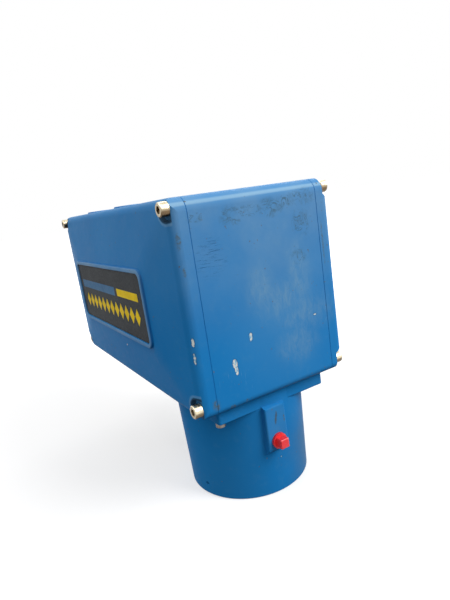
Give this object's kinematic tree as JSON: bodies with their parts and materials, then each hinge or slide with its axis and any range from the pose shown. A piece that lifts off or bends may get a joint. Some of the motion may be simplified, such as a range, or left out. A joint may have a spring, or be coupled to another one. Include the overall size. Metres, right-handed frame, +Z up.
{
  "type": "moisture sensor",
  "caption": "Blue cast optical moisture sensor head with bolted side covers, a round downward snout with a glass window, and a motor-driven filter wheel inside.",
  "frame": {"origin": "centre of the snout's lower end, on the optical axis", "axes": "+X along the housing towards the snout end, -Y out of the label side, +Z up against the viewing direction"},
  "size_m": [0.3024, 0.1466, 0.2392],
  "materials": {
    "blue_paint": "semi-gloss blue enamel on cast aluminium, chipped and scuffed",
    "stainless": "bright stainless",
    "dull_screws": "dull, stained",
    "black_steel": "blackened steel",
    "seal": "matt black rubber",
    "label": "satin printed plate",
    "red_plastic": "moulded red plastic",
    "window": "polished window glass",
    "lens_glass": "polished lens",
    "bulb_glass": "quartz bulb",
    "filter_glass": "coated filter discs",
    "mirror_glass": "front-coated mirror",
    "bare_aluminium": "satin bare aluminium",
    "black_anodised": "black anodised",
    "polished_metal": "polished",
    "brass_hub": "turned brass",
    "gold_can": "gilded can",
    "ceramic": "white ceramic",
    "black_plastic": "black moulding",
    "circuit_board": "green lacquered board",
    "motor_can": "grey steel can",
    "transformer_core": "varnished laminations",
    "olive_metal": "olive plated shell"
  },
  "bodies": {
    "head": {"housing_body": "blue_paint", "left_cover": "blue_paint", "right_cover": "blue_paint", "left_cover_screws": "stainless", "right_cover_screws": "stainless", "left_cover_gasket": "seal", "right_cover_gasket": "seal", "label_plate": "label", "snout": "blue_paint", "snout_gasket": "seal", "snout_screws": "dull_screws", "purge_plug": "red_plastic", "window_glass": "window", "window_o_ring": "seal", "window_ring": "bare_aluminium", "window_set_screws": "black_steel", "optics_spider": "black_anodised", "spider_screws": "stainless", "beam_tube": "black_anodised", "fold_mirror_mount": "black_anodised", "fold_mirror": "mirror_glass", "detector_housing": "black_anodised", "detector_board": "circuit_board", "detector_can": "gold_can", "detector_cap": "black_anodised", "mirror_cell": "black_anodised", "collecting_mirror": "mirror_glass", "mirror_retaining_ring": "bare_aluminium", "mirror_cell_screws": "stainless", "chassis": "bare_aluminium", "chassis_screws": "stainless", "bracket_screws": "stainless", "lamp_bracket": "bare_aluminium", "lamp_socket": "ceramic", "lamp_bulb": "bulb_glass", "lamp_reflector": "polished_metal", "condenser_holder": "black_anodised", "condenser_lens": "lens_glass", "motor_body": "motor_can", "motor_bearings": "polished_metal", "motor_bracket": "bare_aluminium", "motor_screws": "stainless", "position_sensor": "black_plastic", "sensor_bracket": "bare_aluminium", "collimator_holder": "black_anodised", "collimator_lens": "lens_glass", "power_transformer": "transformer_core", "control_board": "circuit_board", "board_standoffs": "brass_hub", "board_screws": "stainless", "power_receptacle": "olive_metal", "signal_receptacle": "olive_metal", "receptacle_inserts": "black_plastic", "receptacle_gaskets": "seal", "receptacle_screws": "stainless"},
    "wheel": {"filter_wheel": "black_anodised", "optical_filters": "filter_glass", "wheel_hub": "brass_hub", "hub_screws": "stainless", "motor_rotor": "black_steel"}
  },
  "joints": [
    {"name": "filter_wheel_spin", "type": "hinge", "parent": "head", "child": "wheel", "pos_m": [-0.1241, 0, 0.168], "axis": [1, 0, 0], "continuous": true}
  ]
}
